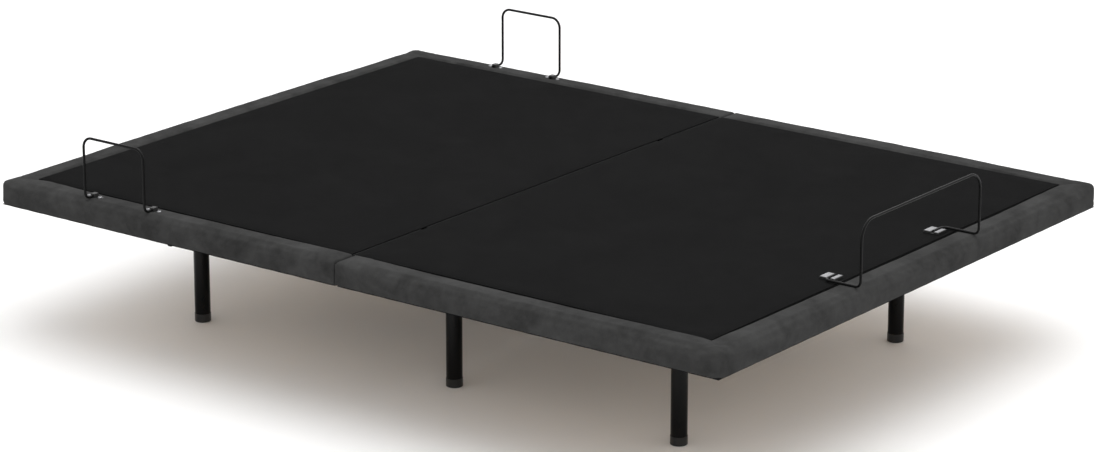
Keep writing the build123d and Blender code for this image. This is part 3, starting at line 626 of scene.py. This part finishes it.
def addStaples(bm, xs, ys, along, base):
    middle = sum(ys) / 2 if along == 0 else sum(xs) / 2
    first, last = xs if along == 0 else ys
    steps = int((last - first) / staple["pitch"])
    wide, wire = staple["wide"] / 2, staple["wire"] / 2
    reach = (wide, wire) if along == 0 else (wire, wide)
    for step in range(steps):
        spot = first + (step + 0.5) * (last - first) / steps
        at = (spot, middle) if along == 0 else (middle, spot)
        addBlock(bm, (at[0] - reach[0], at[1] - reach[1], base - staple["low"]),
                 (at[0] + reach[0], at[1] + reach[1], base - staple["high"]))


def makeHem(end):
    base = Vector(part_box(end + "_border")[0]).z
    bm, staples = bmesh.new(), bmesh.new()
    for xs, ys in hemStrips(end):
        size = (xs[1] - xs[0], ys[1] - ys[0])
        along = 0 if size[0] > size[1] else 1
        count = max(4, int(size[along] / hem["facet"]))
        cuts = (count, hem["across"]) if along == 0 else (hem["across"], count)
        place = Matrix.Translation((sum(xs) / 2, sum(ys) / 2, base - hem["sink"])) @ Matrix.Diagonal(
            (size[0] / 2, size[1] / 2, 1, 1))
        made = bmesh.ops.create_grid(bm, x_segments=cuts[0], y_segments=cuts[1], size=1, matrix=place)
        for v in made["verts"]:  # small puckers between the staples
            v.co.z -= hem["pucker"] * abs(sin(pi * v.co[along] / staple["pitch"]))
        addStaples(staples, xs, ys, along, base)
    strip = newPiece(end + "Hem", bm, end + "_deck", hemCloth, smooth=60)
    thick = strip.modifiers.new("clothThickness", "SOLIDIFY")
    thick.thickness = hem["thick"]
    thick.offset = 0
    newPiece(end + "Staples", staples, end + "_deck", materials["zinc_plate"])


for end in ends:
    makeHem(end)
print("hems done")


# retainer clamps and screws

clampScrew = {"head": 0.0055, "rise": 0.0035, "sink": 0.0002}


def islandCentres(node):
    # middle of each separate solid of a node
    bm = bmesh.new()
    bm.from_mesh(nodes[node].data)
    bmesh.ops.remove_doubles(bm, verts=bm.verts, dist=1e-6)
    left, boxes = set(bm.verts), []
    while left:
        seed = {left.pop()}
        group = set(seed)
        while seed:
            seed = {e.other_vert(v) for v in seed for e in v.link_edges} - group
            group |= seed
        left -= group
        lows = [min(v.co[k] for v in group) for k in range(3)]
        highs = [max(v.co[k] for v in group) for k in range(3)]
        boxes.append((Vector(lows), Vector(highs)))
    bm.free()
    return sorted(boxes, key=lambda b: tuple(round(c, 4) for c in b[0]))


bm = bmesh.new()
for low, high in islandCentres("side_clamp_screws"):
    at = Vector(((low.x + high.x) / 2, (low.y + high.y) / 2, low.z + clampScrew["sink"]))
    addScrew(bm, at, (0, 0, 1), clampScrew["head"], clampScrew["rise"] - clampScrew["sink"])
newPiece("sideClampScrews", bm, "head_deck", materials["zinc_plate"], ["side_clamp_screws"], 40)

footClamp = {"plate": 0.002, "lap": 0.0002, "round": 0.0009, "baseRound": 0.0006, "groove": 0.0036, "wide": 0.019,
             "rim": 0.0015, "baseDrop": 0.0014, "padDrop": 0.0030, "sink": 0.0004}
footScrew = {"shares": (0.24, 0.76), "drop": 0.0016, "head": 0.0042, "headShare": 0.32, "rise": 0.0015}
bm, screws, bases = bmesh.new(), bmesh.new(), bmesh.new()
for low, high in islandCentres("foot_retainer_clamps"):
    clamp, rim = footClamp, footClamp["rim"]
    grooveX = low.x + clamp["wide"]
    plateTop = low.z + clamp["plate"]
    addBlock(bases, low, (high.x, high.y, plateTop + clamp["lap"]), clamp["baseRound"])
    for near, far in ((low.x, grooveX), (grooveX + 2 * clamp["groove"], high.x)):
        addBlock(bases, (near, low.y, plateTop), (far, high.y, high.z - clamp["baseDrop"]), clamp["baseRound"])
        addBlock(bm, (near + rim, low.y + rim, high.z - clamp["padDrop"]),
                 (far - rim, high.y - rim, high.z - clamp["sink"]), clamp["round"], 3)
        for share in footScrew["shares"]:
            at = Vector(((near + far) / 2, low.y + (high.y - low.y) * share, high.z - footScrew["drop"]))
            addScrew(screws, at, (0, 0, 1), min(footScrew["head"], (far - near) * footScrew["headShare"]),
                     footScrew["rise"])
newPiece("footClampBases", bases, "foot_deck", materials["clamp_paint"], ["foot_retainer_clamps"], 40)
newPiece("footClampPlates", bm, "foot_deck", materials["zinc_plate"], ["foot_retainer_clamps"], 40)
newPiece("footClampScrews", screws, "foot_deck", materials["zinc_plate"], smooth=40)


# rollers with a hub, a web and a crowned tread

rollerShape = {"bore": 0.0061, "hub": 0.0115, "webHalf": 0.0045, "rimInner": 0.0195}
for end in ends:
    for side in sides:
        low, high = (Vector(c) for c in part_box(f"{end}_roller_{side}"))
        centre = (low + high) / 2
        half, outer = (high.y - low.y) / 2, (high.z - low.z) / 2
        shape = rollerShape
        profile = [(shape["bore"], -half), (shape["hub"], -half), (shape["hub"], -shape["webHalf"]),
                   (shape["rimInner"], -shape["webHalf"]), (shape["rimInner"], -half + 0.001),
                   (outer - 0.003, -half), (outer - 0.001, -half + 0.001), (outer - 0.0003, -half + 0.003),
                   (outer, -half * 0.3), (outer, half * 0.3), (outer - 0.0003, half - 0.003),
                   (outer - 0.001, half - 0.001), (outer - 0.003, half), (shape["rimInner"], half - 0.001),
                   (shape["rimInner"], shape["webHalf"]), (shape["hub"], shape["webHalf"]),
                   (shape["hub"], half), (shape["bore"], half)]
        bm = bmesh.new()
        addLathe(bm, profile, Matrix.Translation(centre) @ turnTo((0, 1, 0)), 56)
        for spoke in range(6):  # stiffening ribs between hub and rim
            turn = Matrix.Translation(centre) @ Matrix.Rotation(spoke * pi / 3, 4, "Y")
            middle = (shape["hub"] + shape["rimInner"]) / 2
            size = Matrix.Diagonal((shape["rimInner"] - shape["hub"] + 0.001, 2 * half - 0.005, 0.0016, 1))
            bmesh.ops.create_cube(bm, size=1, matrix=turn @ Matrix.Translation((middle, 0, 0)) @ size)
        newPiece(f"{end}Roller{side.capitalize()}", bm, f"{end}_roller_{side}_wheel",
                 materials["roller_nylon"], [f"{end}_roller_{side}"], 30)
print("clamps and rollers done")


# gear motors: ribbed housing with its cover, motor can with an end cap, and the rear lug

gearMotor = {"gearLength": 0.064, "gearHalf": 0.034, "canRadius": 0.030, "canLength": 0.105,
             "rodZ": 0.197, "canDrop": 0.062, "lugHalf": 0.011, "bore": 0.006}
for end, sign in ends.items():
    low, high = (Vector(c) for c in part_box(end + "_gear_motor"))
    g = gearMotor
    y = (low.y + high.y) / 2
    canZ = g["rodZ"] - g["canDrop"]
    # the can's open end is the far end of the box towards its own half
    canEnd = high.x if sign > 0 else low.x
    front = canEnd - sign * g["canLength"]
    back = front - sign * g["gearLength"]
    lug = -sign * 0.390
    bm = bmesh.new()
    topZ, baseZ = g["rodZ"] + 0.027, canZ - g["canRadius"]
    xs = sorted((back, front))
    addBlock(bm, (xs[0], y - g["gearHalf"] + 0.003, baseZ), (xs[1], y + g["gearHalf"] - 0.003, topZ), 0.008, 4)
    split = (xs[0] + xs[1]) / 2
    for ribX in (xs[0] + 0.006, split, xs[1] - 0.006):  # flanges round the housing where its halves meet
        wide = 0.003 if ribX == split else 0.002
        addBlock(bm, (ribX - wide, y - g["gearHalf"], baseZ + 0.0005),
                 (ribX + wide, y + g["gearHalf"], topZ - 0.0005), 0.0015)
    for corner in (-1, 1):
        for z in (baseZ + 0.012, topZ - 0.012, (baseZ + topZ) / 2):  # bosses for the case screws
            addRod(bm, (xs[0] + 0.004, y + corner * (g["gearHalf"] - 0.006), z),
                   (xs[1] - 0.004, y + corner * (g["gearHalf"] - 0.006), z), 0.0052, 0.0008, 20)
    for lift in (0.016, 0.0, -0.016):  # cooling ribs on the flanks
        for corner in (-1, 1):
            edgeY = sorted((y + corner * (g["gearHalf"] - 0.004), y + corner * (g["gearHalf"] - 0.0012)))
            zMid = (baseZ + topZ) / 2 - 0.028 + lift
            for ribLow, ribHigh in ((xs[0] + 0.012, split - 0.006), (split + 0.006, xs[1] - 0.012)):
                addBlock(bm, (ribLow, edgeY[0], zMid - 0.0018), (ribHigh, edgeY[1], zMid + 0.0018), 0.0006, 1)
    newPiece(end + "GearHousing", bm, "base_frame", materials["housing_plastic"],
             [end + "_gear_motor"], 35)

    bm = bmesh.new()  # motor can, stepped towards its end cap, with a vent ring
    r, reach = g["canRadius"], g["canLength"]
    profile = [(0, -0.002), (r * 0.92, -0.002), (r * 0.97, 0.001), (r * 0.97, 0.010), (r, 0.012), (r, reach * 0.70),
               (r * 0.985, reach * 0.71), (r * 0.985, reach * 0.73), (r, reach * 0.74), (r, reach - 0.006),
               (r * 0.96, reach - 0.002), (r * 0.86, reach - 0.0005), (r * 0.5, reach - 0.0005),
               (r * 0.46, reach - 0.003), (r * 0.3, reach - 0.003), (r * 0.26, reach - 0.0002), (0, reach - 0.0002)]
    addLathe(bm, profile, Matrix.Translation((front, y, canZ)) @ turnTo((sign, 0, 0)), 64)
    newPiece(end + "MotorCan", bm, "base_frame", motorPaint, smooth=35)

    bm = bmesh.new()  # rear lug, a forged eye round its pin
    place = Matrix.Translation((lug, y, g["rodZ"])) @ turnTo((0, 1, 0))
    h = g["lugHalf"]
    addLathe(bm, [(g["bore"], -h), (0.013, -h), (0.014, -h + 0.001), (0.014, h - 0.001), (0.013, h), (g["bore"], h)],
             place, 48)
    inner = lug + sign * 0.009 if abs(back) < abs(lug) else lug - sign * 0.009
    neck = sorted((inner, back + (0.003 if back > inner else -0.003)))
    addBlock(bm, (neck[0], y - h + 0.002, g["rodZ"] - 0.011), (neck[1], y + h - 0.002, g["rodZ"] + 0.011), 0.002, 2)
    newPiece(end + "RearLug", bm, "base_frame", materials["frame_paint"])

    bm = bmesh.new()  # case screws
    for corner in (-1, 1):
        for z in (baseZ + 0.012, topZ - 0.012, (baseZ + topZ) / 2):
            at = (back + sign * 0.0042, y + corner * (g["gearHalf"] - 0.006), z)
            addScrew(bm, at, (-sign, 0, 0), 0.0036, 0.0018)
    newPiece(end + "CaseScrews", bm, "base_frame", materials["zinc_plate"], smooth=40)
print("gear motors done")


# bolts, nuts and welds of the frame

legBolt = {"across": 0.013, "height": 0.0055, "x": 0.034, "y": 0.020}
weldBead = {"radius": 0.0024}
bm, welds = bmesh.new(), bmesh.new()
legNodes = [n for n in nodes if n.startswith("leg_") and n not in ("leg_caps", "leg_plates")]
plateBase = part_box("leg_plates")[0][2]
for name in sorted(legNodes):
    low, high = (Vector(c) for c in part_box(name))
    centre, radius = (low + high) / 2, (high.x - low.x) / 2
    for dx in (-1, 1):
        for dy in (-1, 1):
            at = (centre.x + dx * legBolt["x"], centre.y + dy * legBolt["y"], plateBase + 0.0001)
            addHexNut(bm, at, (0, 0, -1), legBolt["across"], legBolt["height"])
    ring = weldBead["radius"]
    profile = [(radius - 0.0005, -ring * 1.6), (radius + ring * 0.5, -ring * 1.1), (radius + ring * 1.1, -ring * 0.5),
               (radius + ring * 1.6, 0.0002), (radius - 0.0005, 0.0002)]
    addLathe(welds, profile, Matrix.Translation((centre.x, centre.y, plateBase)), 48)
newPiece("legBolts", bm, "base_frame", materials["zinc_plate"], smooth=30)
newPiece("legWelds", welds, "base_frame", materials["frame_paint"], smooth=60)
print("frame hardware done")


# camera, floor and lights

view = {"place": (5.312, -6.965, 2.970), "aim": (0.2125, -0.2741, 0.363), "lens": 130.0, "sensor": 36.0}
lens = bpy.data.cameras.new("camera")
lens.lens, lens.sensor_width, lens.clip_end = view["lens"], view["sensor"], 200
camera = bpy.data.objects.new("camera", lens)
bpy.context.scene.collection.objects.link(camera)
camera.location = view["place"]
camera.rotation_euler = (Vector(view["aim"]) - Vector(view["place"])).to_track_quat("-Z", "Y").to_euler()
bpy.context.scene.camera = camera

studio = {"floorSize": 60.0, "world": 0.90, "topPower": 165.0, "sidePower": 20.0}
bm = bmesh.new()
bmesh.ops.create_grid(bm, x_segments=2, y_segments=2, size=studio["floorSize"] / 2)
bmesh.ops.translate(bm, vec=(0, 0, -0.0006), verts=bm.verts)
floorMesh = bpy.data.meshes.new("floor")
bm.to_mesh(floorMesh)
bm.free()
floor = bpy.data.objects.new("floor", floorMesh)
bpy.context.scene.collection.objects.link(floor)
floorFinish, tree, shader, where = newMaterial("paleFloor", Roughness=0.85, Specular_IOR_Level=0.2)
tone = addRange(tree, addNoise(tree, where, 3.0, 3.0), 0.3, 0.7, 0.93, 0.95)
shade = tree.nodes.new("ShaderNodeCombineColor")
for channel in range(3):
    tree.links.new(tone, shade.inputs[channel])
tree.links.new(shade.outputs[0], shader.inputs["Base Color"])
floorMesh.materials.append(floorFinish)

world = bpy.data.worlds.new("studio")
bpy.context.scene.world = world
world.use_nodes = True
world.node_tree.nodes["Background"].inputs["Color"].default_value = (1, 1, 1, 1)
world.node_tree.nodes["Background"].inputs["Strength"].default_value = studio["world"]


def addSoftbox(name, at, aim, width, height, power):
    lamp = bpy.data.lights.new(name, "AREA")
    lamp.shape = "RECTANGLE"
    lamp.size, lamp.size_y, lamp.energy = width, height, power
    box = bpy.data.objects.new(name, lamp)
    bpy.context.scene.collection.objects.link(box)
    box.location = at
    box.rotation_euler = (Vector(aim) - Vector(at)).to_track_quat("-Z", "Y").to_euler()


addSoftbox("topSoftbox", (0.3, 0.4, 4.4), (0, 0, 0.3), 5.5, 5.0, studio["topPower"])
addSoftbox("frontSoftbox", (4.2, -4.6, 2.2), (0, 0, 0.3), 2.2, 2.2, studio["sidePower"])
addSoftbox("backSoftbox", (-3.5, 5.0, 2.8), (0, 0, 0.3), 3.0, 2.0, studio["sidePower"])
bpy.context.scene.view_settings.view_transform = "Standard"
print("camera and lights placed")
